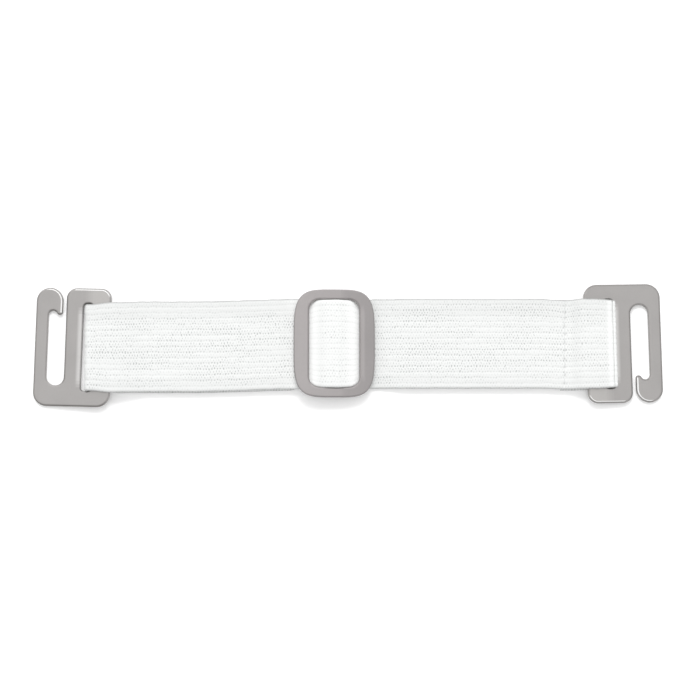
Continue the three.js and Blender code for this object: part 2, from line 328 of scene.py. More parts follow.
def thicken(obj, depth):
    """Extrudes a flat face upwards into a closed plate."""
    shape(obj)
    pick(obj, "faces", lambda face: True)
    bpy.ops.mesh.extrude_region_move(TRANSFORM_OT_translate={"value": (0, 0, depth)})
    merge(0.002 * MM)
    bpy.ops.mesh.normals_make_consistent(inside=False)
    done()


def apply_modifier(obj, kind, **settings):
    """Adds a modifier, sets it and applies it."""
    only(obj)
    bpy.ops.object.modifier_add(type=kind)
    modifier = obj.modifiers[-1]
    for key, value in settings.items():
        setattr(modifier, key, value)
    bpy.ops.object.modifier_apply(modifier=modifier.name)


def combine(obj, other, operation):
    """Cuts another object out of this one or joins it to it, and removes the other."""
    apply_modifier(obj, "BOOLEAN", operation=operation, solver="EXACT", object=other)
    bpy.data.objects.remove(other)


def round_edges(obj, along, longer, radius, steps):
    """Rounds a block's edges that run along an axis and are longer than this."""
    pick(obj, "edges", lambda e: abs((e.verts[0].co - e.verts[1].co)["XYZ".index(along)]) > longer)
    bpy.ops.mesh.bevel(offset=radius, segments=steps, profile=0.5, affect="EDGES")


def punch(obj, x0, x1, half_height, radius):
    """Cuts a round-cornered window right through."""
    cutter = block("cutter", (x0, -half_height, -5 * MM), (x1, half_height, 5 * MM))
    shape(cutter)
    round_edges(cutter, "Z", 5 * MM, radius, 10)
    done()
    combine(obj, cutter, "DIFFERENCE")


def round_rims(obj, width, steps, share_of):
    """Rounds each rim, between a face and a wall, by its share of the widest rounding."""
    working = bmesh.new()
    working.from_mesh(obj.data)
    layer = working.edges.layers.float.new("bevel_weight_edge")
    for edge in working.edges:
        if len(edge.link_faces) != 2:
            continue
        wall, face = sorted((face.normal.z for face in edge.link_faces), key=abs)
        if abs(wall) < 0.3 and abs(face) > 0.7:
            middle = (edge.verts[0].co + edge.verts[1].co) / 2
            edge[layer] = share_of(middle, face > 0)
    working.to_mesh(obj.data)
    working.free()
    apply_modifier(
        obj, "BEVEL", width=width, limit_method="WEIGHT", segments=steps, profile=0.5,
        use_clamp_overlap=False, offset_type="OFFSET",
    )


def shade_smooth(obj, degrees):
    """Shades smooth across edges that are flatter than this."""
    only(obj)
    bpy.ops.object.shade_smooth_by_angle(angle=math.radians(degrees))


def even_normals(obj):
    shade_smooth(obj, 40)
    apply_modifier(obj, "WEIGHTED_NORMAL", weight=80, keep_sharp=True)


def keep_values(obj, name, domain, values):
    """Keeps one number per face or per point for the material, which blends between points."""
    layer = obj.data.attributes.new(name, "FLOAT", domain)
    layer.data.foreach_set("value", values)


# Shaders


class Nodes:
    """Places nodes in a tree and links them."""

    def __init__(self, tree):
        self.tree = tree

    def add(self, kind, inputs=(), **settings):
        """Adds a node, sets it, and gives its inputs, by name or number, a link or a value."""
        node = self.tree.nodes.new(kind)
        for key, value in settings.items():
            setattr(node, key, value)
        self.fill(node, inputs)
        return node

    def fill(self, node, inputs):
        for key, value in dict(inputs).items():
            if isinstance(value, bpy.types.NodeSocket):
                self.tree.links.new(value, node.inputs[key])
            else:
                node.inputs[key].default_value = value

    def math(self, operation, *values, clamp=False):
        node = self.add("ShaderNodeMath", enumerate(values), operation=operation, use_clamp=clamp)
        return node.outputs[0]

    def plus(self, value, *others):
        for other in others:
            value = self.math("ADD", value, other)
        return value

    def times(self, value, *others):
        for other in others:
            value = self.math("MULTIPLY", value, other)
        return value

    def vector(self, operation, inputs):
        return self.add("ShaderNodeVectorMath", inputs, operation=operation).outputs

    def dimmed(self, tone, share):
        return self.vector("SCALE", {0: tone, "Scale": share})[0]

    def mix(self, factor, a, b):
        inputs = {"Factor": factor, 6: a, 7: b}
        return self.add("ShaderNodeMix", inputs, data_type="RGBA").outputs[2]

    def noise(self, place, scale, detail=2.0, rough=0.5):
        """Noise of one scale, or of three where it is stretched."""
        if isinstance(scale, tuple):
            mapping = self.add("ShaderNodeMapping", {"Vector": place, "Scale": scale})
            place, scale = mapping.outputs["Vector"], 1.0
        inputs = {"Vector": place, "Scale": scale, "Detail": detail, "Roughness": rough}
        return self.add("ShaderNodeTexNoise", inputs).outputs["Fac"]

    def spread(self, value, low, high, to_low=0.0, to_high=1.0):
        values = (value, low, high, to_low, to_high)
        return self.add("ShaderNodeMapRange", enumerate(values)).outputs[0]

    def uneven(self, place, scale, low, high, detail=2.0):
        """Noise that goes from one value to another."""
        return self.spread(self.noise(place, scale, detail), 0.3, 0.7, low, high)

    def apart(self, vector):
        return self.add("ShaderNodeSeparateXYZ", {0: vector}).outputs

    def mark(self, name, kind="Fac"):
        """What the mesh keeps under this name."""
        return self.add("ShaderNodeAttribute", attribute_name=name).outputs[kind]

    def bump(self, height, strength, distance):
        inputs = {"Height": height, "Strength": strength, "Distance": distance}
        return self.add("ShaderNodeBump", inputs).outputs["Normal"]


def group(name, inputs, outputs):
    """An empty shader group. An input with no value of its own is a vector."""
    tree = bpy.data.node_groups.new(name, "ShaderNodeTree")
    for label, value in inputs.items():
        kind = "NodeSocketVector" if value is None else "NodeSocketFloat"
        socket = tree.interface.new_socket(label, in_out="INPUT", socket_type=kind)
        if value is not None:
            socket.default_value = value
    for label in outputs:
        tree.interface.new_socket(label, in_out="OUTPUT", socket_type="NodeSocketFloat")
    nodes = Nodes(tree)
    return tree, nodes, nodes.add("NodeGroupInput").outputs, nodes.add("NodeGroupOutput")


def material(name):
    """A material with its nodes, its shader and the place on the object."""
    made = bpy.data.materials.new(name)
    made.use_nodes = True
    nodes = Nodes(made.node_tree)
    place = nodes.add("ShaderNodeTexCoord").outputs["Object"]
    return made, nodes, made.node_tree.nodes["Principled BSDF"], place


def metal_grain():
    """Fine grain of tumbled and plated metal: a shade, a roughness and a height."""
    inputs = {"Place": None, "Cloud": 0.20, "Grain": 0.09, "Scratches": 0.3}
    tree, nodes, given, out = group("metal grain", inputs, ("Shade", "Roughness", "Height"))
    place = given["Place"]
    cloud = nodes.noise(place, 105.0, 3.0, 0.55)
    fine = nodes.noise(place, 5200.0, 3.0, 0.6)
    pits = nodes.noise(place, 1900.0)
    drawn = nodes.noise(place, (2600.0, 190.0, 2600.0))
    scratches = nodes.times(nodes.spread(drawn, 0.60, 0.74), given["Scratches"])
    clouded = nodes.math("MULTIPLY_ADD", nodes.math("SUBTRACT", cloud, 0.5), given["Cloud"], 1.0)
    grain = nodes.times(nodes.math("SUBTRACT", fine, 0.5), given["Grain"])
    shade = nodes.math("SUBTRACT", nodes.plus(clouded, grain), nodes.times(scratches, 0.06))
    pitted = nodes.spread(pits, 0.35, 0.65, -0.03, 0.03)
    rough = nodes.plus(nodes.spread(cloud, 0.3, 0.7, -0.04, 0.05), pitted)
    height = nodes.math("MULTIPLY_ADD", fine, 0.5, nodes.times(pits, 0.5))
    height = nodes.math("SUBTRACT", height, scratches)
    nodes.fill(out, {"Shade": shade, "Roughness": rough, "Height": height})
    return tree


def metal(name, face, marks, roughness):
    """Plated metal, with painted highlights and painted shade in its colour wherever the mesh has a
    mark.
    """
    made, nodes, shader, place = material(name)
    tree = bpy.data.node_groups.get("metal grain") or metal_grain()
    grain = nodes.add("ShaderNodeGroup", {"Place": place}, node_tree=tree)
    tone = (*face, 1.0)
    for mark, marked in marks:
        tone = nodes.mix(nodes.mark(mark), tone, (*marked, 1.0))
    nodes.fill(shader, {
        "Base Color": nodes.dimmed(tone, grain.outputs["Shade"]),
        "Roughness": nodes.math("ADD", grain.outputs["Roughness"], roughness, clamp=True),
        "Metallic": 1.0,
        "Normal": nodes.bump(grain.outputs["Height"], 0.12, 0.03 * MM),
    })
    return made


def finish_piece(obj, made, slot, *nodes):
    """Dresses a piece, and says which solids it stands for."""
    obj.data.materials.clear()
    obj.data.materials.append(made)
    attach(obj, "root")
    if nodes:
        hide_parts(*nodes)


# Hooks


def flat_hook(sizes):
    """The hook as one flat face: x = 0 is the middle of the end bar, the mouth is at +Y."""
    top = sizes.height / 2
    bottom = -top
    right = sizes.end_bar / 2
    left = right - sizes.length
    slot_left = left + sizes.leg
    slot_right = slot_left + sizes.hook_slot
    slot_bottom = bottom + sizes.foot
    head_right = slot_right - sizes.mouth
    nib_bottom = top - sizes.nib_drop
    nib_x, nib_y = head_right - sizes.nib_radius, nib_bottom + sizes.nib_radius
    notch_x = slot_left + sizes.notch_radius
    both = sizes.nib_radius + sizes.notch_radius
    notch_y = nib_y - math.sqrt(both**2 - (nib_x - notch_x) ** 2)
    notch_top = notch_y + sizes.notch_radius
    slant = math.atan2(nib_y - notch_y, nib_x - notch_x)
    reach = math.tan((math.pi / 2 - slant) / 2)
    flank_top = notch_x + sizes.notch_radius * reach
    flank_bottom = nib_x - sizes.nib_radius * reach

    obj = block("hook_plate", (left, bottom, 0), (right, top, 0))
    shape(obj)
    cut("X", slot_left, flank_top, head_right, slot_right)
    cut("Y", slot_bottom, nib_bottom, notch_top)

    def open_space(face):
        x, y = face.calc_center_median().xy
        in_slot = slot_left < x < slot_right and slot_bottom < y < nib_bottom
        in_notch = slot_left < x < flank_top and nib_bottom < y < notch_top
        in_mouth = head_right < x < slot_right and y > nib_bottom
        return in_slot or in_notch or in_mouth

    pick(obj, "faces", open_space)
    bpy.ops.mesh.delete(type="FACE")
    bpy.ops.mesh.select_all(action="SELECT")
    bpy.ops.mesh.dissolve_limited(angle_limit=math.radians(1))

    flare = sizes.end_bar_flare / 2
    for x, y, by_x in (
        (right, bottom, flare),
        (right, top, -flare),
        (flank_top, nib_bottom, flank_bottom - flank_top),
    ):
        take_corner(obj, x, y)
        bpy.ops.transform.translate(value=(by_x, 0, 0))

    head = (head_right - left) / 2
    half_slot = sizes.hook_slot / 2
    for x, y, radius, steps in (
        (left, bottom, sizes.closed_radius, 14),
        (right + flare, bottom, sizes.closed_radius, 14),
        (right - flare, top, sizes.arm_radius, 12),
        (slot_right, top, sizes.bar_radius, 12),
        (slot_right, slot_bottom, half_slot, 12),
        (slot_left, slot_bottom, half_slot, 12),
        (slot_left, notch_top, sizes.notch_radius, 8),
        (flank_top, notch_top, sizes.notch_radius * reach, 7),
        (flank_bottom, nib_bottom, sizes.nib_radius * reach, 7),
        (head_right, nib_bottom, sizes.nib_radius, 8),
        (head_right, top, head, 14),
        (left, top, head, 14),
    ):
        round_corner(obj, x, y, radius, steps)
    merge(0.004 * MM)
    done()
    return obj


def hook_lines(sizes):
    """The slot's left edge, half its height, and the lines at which the plate's painted highlights
    change.
    """
    slot_left = -sizes.end_bar / 2 - sizes.band_slot
    half_slot = sizes.band_slot_height / 2
    highlight_ridge_lines = [slot_left - reach * MM for reach in (1.65, 1.4, 1.15)]
    fading = [half_slot - reach * MM for reach in (1.1, 1.9, 2.9)]
    brighter = [slot_left + reach * MM for reach in (0.5, 1.2, 1.9, 2.6)]
    return slot_left, half_slot, highlight_ridge_lines, fading, brighter


def hook_plate(sizes):
    """One stamped hook in its own frame, its thickness centred on the plane z = 0."""
    slot_left, half_slot, highlight_ridge_lines, fading, brighter = hook_lines(sizes)
    obj = flat_hook(sizes)
    thicken(obj, sizes.thickness)
    settle(obj, Matrix.Translation((0, 0, -sizes.thickness / 2)))
    shape(obj)
    cut("Y", 0)
    done()
    punch(obj, slot_left, -sizes.end_bar / 2, half_slot, sizes.band_slot_radius)
    shape(obj)
    # Scores that carry the painted highlight beside the band slot.
    cut("X", *highlight_ridge_lines)
    score(obj, "Y", both_ways(fading), lambda f: f.calc_center_median().x > highlight_ridge_lines[0])
    done()
    under = sizes.under_rim / sizes.rim
    round_rims(obj, sizes.rim, 4, lambda middle, upper: 1.0 if upper else under)
    shape(obj)
    # Scores that carry the painted reflection on the arm.
    score(obj, "X", brighter, lambda f: f.normal.z > 0.99 and f.calc_center_median().y > 0)
    done()
    even_normals(obj)
    return obj


def mark_hook(obj, sizes):
    """Marks the faces that get painted highlights on the rounded rims and beside the elastic, a painted
    reflection on the arm, and painted shade on the rims that face away.
    """
    slot_left, half_slot, highlight_ridge_lines, fading, brighter = hook_lines(sizes)
    head = sizes.height / 2
    notch_right = sizes.end_bar / 2 - sizes.length + sizes.leg + 2 * sizes.notch_radius + 0.3 * MM
    # The four strips of a rounding lean by 11, 34, 56 and 79 degrees.
    flat, middling, steep = (math.cos(math.radians(angle)) for angle in (5, 22, 45))

    def wall_of(middle, normal):
        """Which way a rim's face looks from above, or nothing if it is no upper rim."""
        on_rim = middle.z > 0 and 0.05 < normal.z < flat
        return Vector((normal.x, normal.y, 0)).normalized() if on_rim else None

    def by_elastic(middle, wall):
        on_bar = abs(middle.x - slot_left) < sizes.rim + 0.05 * MM
        return on_bar and wall.x > 0.5 and abs(middle.y) < half_slot

    def rolled_share(middle, wall):
        """The head, the nib and the arm get a painted highlight on their rounded rims, on the side that
        the mouth faces.
        """
        past_nib = middle.y < head - sizes.nib_drop - 1 * MM
        in_notch = middle.x < notch_right and middle.y < head - 4 * MM
        in_slot = abs(middle.x - slot_left) < 1 * MM and abs(middle.y) < half_slot + 0.5 * MM
        if past_nib or in_notch or in_slot or by_elastic(middle, wall):
            return 0.0
        heading = math.degrees(math.atan2(wall.y, wall.x))
        # Painted highlight from this heading on, in degrees, and up to about a right angle.
        low = 8.0 if middle.x > slot_left else -35.0
        return smooth(low, low + 25, heading) * smooth(112, 92, heading)

    # Painted highlight on the upper rounded rims, brightest on the flatter strips.
    def rolled(middle, normal):
        wall = wall_of(middle, normal)
        if not wall or normal.z < steep:
            return 0.0
        lower = 0.5 - 0.38 * max(0, wall.y)
        return rolled_share(middle, wall) * (1.0 if normal.z > middling else lower)

    # Painted highlight along the middle bar's rim beside the elastic, fading towards the slot's ends.
    def rubbed(middle, normal):
        wall = wall_of(middle, normal)
        share = sum(abs(middle.y) < limit for limit in fading) / len(fading)
        if normal.z > flat and highlight_ridge_lines[0] < middle.x < slot_left:
            return share * (0.3 if middle.x < highlight_ridge_lines[1] else 0.65 if middle.x < highlight_ridge_lines[2] else 1.0)
        if not wall or not by_elastic(middle, wall):
            return 0.0
        return share * (1.0 if normal.z > middling else 0.6 if normal.z > 0.3 else 0.4)

    def worn(middle, normal):
        """The arm beside the mouth has a painted reflection, a little brighter."""
        if normal.z < flat or middle.y < half_slot:
            return 0.0
        return sum(middle.x > limit for limit in brighter) / len(brighter)

    def sheared(middle, normal):
        """Painted shade on the rims towards the hook's outer edge and its closed end, which face away
        from the light.
        """
        wall = wall_of(middle, normal)
        if not wall:
            return 0.0
        share = 0.15 + 0.7 * smooth(-0.5, 0.6, -wall.x - wall.y)
        if rolled_share(middle, wall) > 0.5:
            share = 0.8
        share *= 0.3 if normal.z > middling else 1.0
        return share * (1 - rolled(middle, normal)) * (1 - rubbed(middle, normal))

    for value_of in (worn, rolled, rubbed, sheared):
        values = [value_of(face.center, face.normal) for face in obj.data.polygons]
        keep_values(obj, value_of.__name__, "FACE", values)


class SleeveHolderHooks(bpy.types.Operator):
    """Models the stamped hook once and lays it at both ends of the strip"""

    bl_idname = "mesh.sleeve_holder_hooks"
    bl_label = "Hook plates"

    def execute(self, context):
        sizes = context.scene.sleeve_holder_hooks
        first = hook_plate(sizes)
        mark_hook(first, sizes)
        only(first)
        bpy.ops.object.duplicate(linked=False)
        second = context.object
        # Painted reflection, painted shade and painted highlights, mixed into the nickel's colour.
        marks = (
            ("worn", sizes.worn_colour),
            ("sheared", sizes.sheared_colour),
            ("rubbed", sizes.rubbed_colour),
            ("rolled", sizes.rolled_colour),
        )
        nickel = metal("satin nickel", sizes.face_colour, marks, 0.38)
        slope = (sizes.bar_rest - sizes.edge_rest) / (sizes.length - sizes.end_bar)
        tilt = math.asin(slope)
        height = sizes.bar_rest + sizes.thickness / 2 + sizes.end_bar / 2 * slope
        for obj, node, x, y, lean, half_turns in (
            (first, "left_hook_plate", sizes.left_x, sizes.left_y, sizes.left_lean, 0),
            (second, "right_hook_plate", sizes.right_x, sizes.right_y, sizes.right_lean, 1),
        ):
            obj.name = node.replace("_plate", "_finished")
            place = Matrix.Translation(Vector((x, y, height)) + SHIFT)
            place @= Matrix.Rotation((1 if half_turns else -1) * tilt, 4, "Y")
            place @= Matrix.Rotation(half_turns * math.pi + lean, 4, "Z")
            settle(obj, place)
            finish_piece(obj, nickel, "hook_nickel", node)
        return {"FINISHED"}


# Slide

# Where the painted highlight ridge beside the window begins to fade and where it has gone, across the
# strip.
HIGHLIGHT_RIDGE_ENDS = (8.6 * MM, 11.0 * MM)


def slide_frame(sizes):
    """The bowed frame with its window, middle of its underside at the origin."""
    # Four corners that each reach to the middle of two sides make one superellipse.
    reach = 5 * MM
    obj = block("slide_frame", (-reach, -reach, 0), (reach, reach, 0))
    shape(obj)
    profile = math.exp(-2 * math.log(2) / sizes.squareness)
    for x, y in ((-reach, -reach), (reach, -reach), (reach, reach), (-reach, reach)):
        round_corner(obj, x, y, reach, 26, profile)
    merge(0.002 * MM)
    done()
    half = sizes.width / 2
    settle(obj, Matrix.Diagonal((half / reach, sizes.height / 2 / reach, 1, 1)))
    thicken(obj, sizes.thickness)
    shape(obj)
    cut("X", 0)
    done()
    window = sizes.window_width / 2
    punch(obj, -window, window, sizes.window_height / 2, sizes.window_radius)
    round_rims(obj, sizes.window_rim, 6, lambda middle, upper: slide_rim(sizes, middle, upper))

    # Even scores let the frame bend, and closer ones carry the painted shade and painted highlight
    # beside the window.
    shape(obj)
    scores = [step + 0.5 for step in range(-11, 8)] + [8.15, 8.75, 9.5, 10.5]
    cut("X", *(x * MM for x in scores))
    score(
        obj, "Y", both_ways(HIGHLIGHT_RIDGE_ENDS),
        lambda f: f.normal.z > 0.9 and f.calc_center_median().x > 7.4 * MM,
    )
    done()
    settle(obj, Matrix.Rotation(math.radians(90), 4, "X"))
    radius = (half**2 + sizes.bow**2) / (2 * sizes.bow)
    apply_modifier(
        obj, "SIMPLE_DEFORM", deform_method="BEND", deform_axis="Z",
        angle=2 * math.asin(half / radius),
    )
    settle(obj, Matrix.Rotation(math.radians(-90), 4, "X"))
    middle = min(v.co.z for v in obj.data.vertices if abs(v.co.x) < 0.6 * MM)
    settle(obj, Matrix.Translation((0, 0, sizes.bow - middle)))
    return obj


def slide_rim(sizes, middle, upper):
    """The share of the widest rounding that a rim of the slide has."""
    along, across = (length / 2 + 0.1 * MM for length in (sizes.window_width, sizes.window_height))
    if not upper:
        return sizes.under_rim / sizes.window_rim
    in_window = abs(middle.x) < along and abs(middle.y) < across
    return 1.0 if in_window else sizes.outer_rim / sizes.window_rim


def sunk_bar(sizes):
    """The bar across the middle, under the window, with its two ends raised into the frame."""
    half, reach = sizes.bar_width / 2, sizes.bar_reach
    low = -sizes.bar_sink
    foot = reach - sizes.foot_length
    obj = block("sunk_bar", (-half, -reach, low), (half, reach, low + sizes.bar_thickness))
    shape(obj)
    cut("Y", *both_ways([foot]))
    pick(obj, "faces", lambda f: f.normal.z > 0.9 and abs(f.calc_center_median().y) > foot)
    rise = sizes.foot_height - sizes.bar_thickness
    bpy.ops.mesh.extrude_region_move(TRANSFORM_OT_translate={"value": (0, 0, rise)})
    round_edges(obj, "Y", 2 * MM, 0.25 * MM, 3)
    done()
    return obj


def turned_away(place):
    """Painted shade on the slide's side turned away from the light and a little on its top and bottom
    rails, from 0 to 1, with a painted highlight ridge along the window's right.
    """
    x, y = place.x / MM, abs(place.y)
    if x < 6.9:
        on_rail = smooth(11.5 * MM, 13.0 * MM, y) * smooth(-9.0, -6.5, x)
        return max(0.3 * on_rail, smooth(0.6, 3.6, x))
    ridge = float(np.interp(x, (7.0, 7.6, 8.1, 8.7), (1.0, 0.5, -0.35, 1.0)))
    return ridge + (1.0 - ridge) * smooth(*HIGHLIGHT_RIDGE_ENDS, y)


def dull_rim(sizes, middle, normal):
    """Painted shade on the slide's rims where they lean, but not inside the window or underneath."""
    inside = abs(middle.x) < 6.5 * MM and abs(middle.y) < sizes.window_height / 2 + 0.7 * MM
    if inside or middle.z < 0.2 * MM:
        return 0.0
    return smooth(0.2, 0.7, normal.xy.length)


class SleeveHolderSlide(bpy.types.Operator):
    """Models the slide with its sunk bar and lays it on the strip"""

    bl_idname = "mesh.sleeve_holder_slide"
    bl_label = "Slide"

    def execute(self, context):
        sizes = context.scene.sleeve_holder_slide
        obj = slide_frame(sizes)
        combine(obj, sunk_bar(sizes), "UNION")
        even_normals(obj)
        # Painted shade and painted highlight per point, painted shade per rim face.
        shaded = [turned_away(point.co) for point in obj.data.vertices]
        rims = [dull_rim(sizes, face.center, face.normal) for face in obj.data.polygons]
        keep_values(obj, "shaded", "POINT", shaded)
        keep_values(obj, "rim", "FACE", rims)
        obj.name = "slide_finished"
        place = Matrix.Translation(Vector((sizes.x, sizes.y, sizes.z)) + SHIFT)
        place @= Matrix.Rotation(sizes.tilt, 4, "Y")
        settle(obj, place)
        marks = (("shaded", sizes.shaded_colour), ("rim", sizes.rim_colour))
        satin = metal("satin slide metal", sizes.face_colour, marks, 0.42)
        finish_piece(obj, satin, "slide_metal", "slide_buckle")
        return {"FINISHED"}


# Elastic

# Lengths at the strip's right end, in millimetres: the layer underneath, and how much is sewn.
LOWER_LAYER = 18
SEWN = 3


def leg(kind, x, z, width, lean=0.0, side=0.0, via=()):
    """One leg of the strip's route, in millimetres, with what the strip has where the leg ends."""
    return {"kind": kind, "x": x, "z": z, "width": width, "lean": lean, "side": side, "via": via}


def band_route(sizes, slide, hooks):
    """The strip's legs, seen from its edge.

    It starts at the cut end sewn behind the slide, runs to the left hook and back over itself,
    goes through the slide, round the right hook's end bar and back to the seam."""
    full, slot, inner = (w / MM for w in (sizes.width, sizes.slot_width, sizes.sewn_width))
    s, left, right = (x / MM for x in (slide.x, hooks.left_x, hooks.right_x))
    # Heights of its middle line: on the surface, lifted, as second layer, and the two over the bar.
    floor, lifted, second = 0.5, 1.5, 1.6
    low_bar, high_bar = 3.0, 4.1
    lean = math.degrees(hooks.right_lean)
    fold = (
        (4.05, 3.16), (4.75, 3.06), (5.33, 2.80), (5.50, 2.42), (5.27, 1.95), (5.0, 1.35), (4.45, 0.76),
    )
    return [
        leg("start", s - 4.3, second, inner),
        leg("run", s - 3.6, second, inner),
        leg("rise", s - 1.3, low_bar, inner),
        leg("run", s + 1.35, low_bar, inner),
        leg("turn right", s + 1.35, floor, inner),
        leg("run", s - 7.5, floor, inner),
        leg("run", s - 13, floor, full, side=-0.45),
        leg("run", left + 6, floor, full, side=-0.45),
        leg("run", left - 2.95, floor, slot, side=-0.3),
        leg("turn left", left - 2.95, 2.85, slot, side=-0.3),
        leg("rise", left + 2.9, 3.25, 25.3, side=-0.3),
        leg("rise", left + 14, second, 25.5, side=0.0),
        leg("run", s - 9.2, second, 25.4, side=0.05),
        leg("window", s - 0.8, high_bar, full),
        leg("window", s + 0.8, high_bar, full),
        leg("window", s + 9.0, floor, full),
        leg("run", s + 11.5, floor, 25.2, side=0.1),
        leg("rise", s + 21, lifted, 25.25, side=0.1),
        leg("run", 54, lifted, 25.25, side=0.1),
        leg("rise", 59, second, 25.1, side=-0.1),
        leg("run", 62, second, 25.2, side=-0.15),
        leg("rise", right - 2.8, 3.25, 25.3, lean=1.0),
        leg("fold", right + 3.55, floor, slot, lean, via=[(right + x, z) for x, z in fold]),
        leg("run", right - 4, floor, full, lean=0.8, side=-0.45),
        leg("run", 59.5, floor, full, side=-0.5),
    ]


def leg_points(before, after, fine):
    """Points along one leg, and how far along it each of them is, from 0 to 1."""
    x0, z0, x1, z1 = before["x"], before["z"], after["x"], after["z"]
    kind = after["kind"]
    if kind == "fold":
        return smooth_path([(x0, z0), *after["via"], (x1, z1)], fine)
    turning = kind.startswith("turn")
    span = math.hypot(x1 - x0, z1 - z0) * (math.pi / 2 if turning else 1)
    share = np.linspace(0, 1, max(2, round(span / fine)) + 1)
    if not turning:
        ease = share if kind == "run" else smooth(0, 1, share)
        return x0 + share * (x1 - x0), z0 + ease * (z1 - z0), share
    rise = (z1 - z0) / 2
    out = np.maximum(np.sin(share * math.pi), 0)
    z = z0 + rise - rise * np.cos(share * math.pi)
    if kind == "turn right":
        return x0 + abs(rise) * out, z, share
    # The left loop is blunt, and bulges where it comes out from under its bar.
    bulge = 0.62 * bell(z, 0.62, 0.36) * out**0.5
    return x0 - abs(rise) * out**0.78 - bulge, z, share


def smooth_path(points, fine):
    """A smooth curve through a few points."""
    points = np.array(points)
    ends = 2 * points[[0, -1]] - points[[1, -2]]
    ghost = np.vstack([ends[0], points, ends[1]])
    found = [points[:1]]
    for before, start, end, after in zip(ghost, ghost[1:], ghost[2:], ghost[3:]):
        steps = max(2, round(math.dist(start, end) / fine))
        t = np.linspace(0, 1, steps + 1)[1:, None]
        linear = (end - before) * t
        square = (2 * before - 5 * start + 4 * end - after) * t**2
        cube = (3 * start - before - 3 * end + after) * t**3
        found.append(0.5 * (2 * start + linear + square + cube))
    path = np.concatenate(found)
    return path[:, 0], path[:, 1], np.linspace(0, 1, len(path))


def band_stations(route):
    """Rows along the strip, in millimetres: x, z, direction, width, lean, side, whether it passes
    the slide's window on top, and the length so far."""
    rows = []
    for before, after in zip(route, route[1:]):
        kind = after["kind"]
        in_sight = kind == "window" or min(before["x"], after["x"]) > 53
        fine = 0.17 if kind.startswith(("turn", "fold")) else 0.24 if in_sight else 0.6
        x, z, share = leg_points(before, after, fine)
        ease = smooth(0, 1, share)
        values = [before[key] + (after[key] - before[key]) * ease for key in ("width", "lean", "side")]
        leg_rows = np.stack([x, z, *values, np.full_like(x, kind == "window")], axis=1)
        rows.append(leg_rows if not rows else leg_rows[1:])
    rows = np.concatenate(rows)
    steps = np.hypot(np.diff(rows[:, 0]), np.diff(rows[:, 1]))
    along = np.concatenate([[0], np.cumsum(steps)])
    direction = np.gradient(rows[:, :2], along, axis=0)
    direction /= np.linalg.norm(direction, axis=1)[:, None]
    return np.column_stack([rows[:, :2], direction, rows[:, 2:], along])


def sway(x):
    """How far the strip lies to the side at a place along it, in millimetres."""
    return -0.15 + 0.75 * smooth(-45, -10, x)


def window_reach(slide, from_slide):
    """How far the strip may reach to the side where it rises through the slide's window."""
    half_width, half_height = slide.window_width / 2 / MM, slide.window_height / 2 / MM
    radius = slide.window_radius / MM
    rising = half_width - 0.7  # nearer to a side bar the strip is under the frame
    past_corner = np.clip(np.abs(from_slide) - half_width + radius, 0, radius - half_width + rising)
    reach = half_height - radius + np.sqrt(radius**2 - past_corner**2) - 0.05
    under_frame = smooth(rising, rising + 1.3, np.abs(from_slide))
    return reach + (half_height + 0.2 - reach) * under_frame


def seam_line(sizes, y):
    """The seam's place along the strip, a little uneven, in millimetres."""
    return sizes.seam_x / MM + 0.16 * waves(y, 11, 9.0, 4.3) + 0.012 * y


def relief(sizes, x, y, z, along, sewn, past_left, past_right):
    """How far the outer face stands out: the seam, the crease over the right bar, and unevenness."""
    tug = 0.55 + 0.45 * np.cos(2 * math.pi * y / (sizes.stitch / MM))
    seam = -0.27 * bell(x, seam_line(sizes, y), 0.40) * sewn * tug
    crease_place = 4.42 - 0.012 * y + 0.05 * waves(y, 5, 7.0, 3.1)
    crease = bell(past_right, crease_place, 0.15) * (z > 2.6) * smooth(11.9, 10.0, np.abs(y + 0.4))
    rippled = 0.022 * waves(along + 0.35 * y, 2, 21.0, 9.0, 5.2) * waves(y, 3, 11.0, 6.1)
    in_left_loop = smooth(2.75, 3.95, past_left)
    return seam - 0.30 * crease + rippled + 0.13 * waves(y, 13, 8.3, 4.1, 2.3) * in_left_loop


def stretch(z, from_slide, past_left, past_right):
    """How far the strip is drawn smooth, and lifted with painted light where it would lie in shade: in
    the slide's window, beside it and in both loops.
    """
    apart = np.abs(from_slide)
    towards_rail = 0.75 * smooth(1.6, 5.2, from_slide) + 0.6 * smooth(3.4, 6.0, -from_slide)
    drawn = (0.15 + towards_rail) * smooth(7.6, 6.9, apart) + 0.5 * bell(apart, 11.2, 1.7)
    drawn = np.maximum(drawn * (z > 0.9), 0.6 * smooth(3.65, 4.75, past_left))
    return np.maximum(drawn, 0.55 * smooth(3.05, 4.25, past_right))


def pattern_strength(x, y, z, from_slide, past_left, past_right):
    """How clearly the weave shows on the outer face: less where the strip is drawn taut or at the
    selvedge.
    """
    over_bar = np.maximum(smooth(2.45, 3.85, past_right) * (z > 2.2), smooth(3.65, 4.35, past_right))
    clear = (1 - 0.85 * over_bar) * (1 - 0.9 * smooth(2.55, 4.15, past_left))
    apart = np.abs(from_slide)
    clear = clear * (1 - (0.4 + 0.5 * smooth(2.6, 4.6, apart)) * smooth(7.6, 6.9, apart))
    wander = 0.7 * waves(x, 17, 23.0, 9.0)
    plain = smooth(7.4, 9.0, y + wander) * smooth(20, -20, x) * (1 - smooth(7.4, 6.9, apart))
    plain = np.maximum(plain, 0.8 * smooth(-7.2, -9.2, y + wander) * smooth(20, 45, x))
    plain = np.maximum(plain, 0.8 * smooth(10.4, 11.4, np.abs(y)))
    return clear * (1 - 0.62 * plain)


def both_faces(upper, under):
    """What the section has on its upper face and then on its lower one, all the way round."""
    return np.concatenate([upper, under], axis=1)


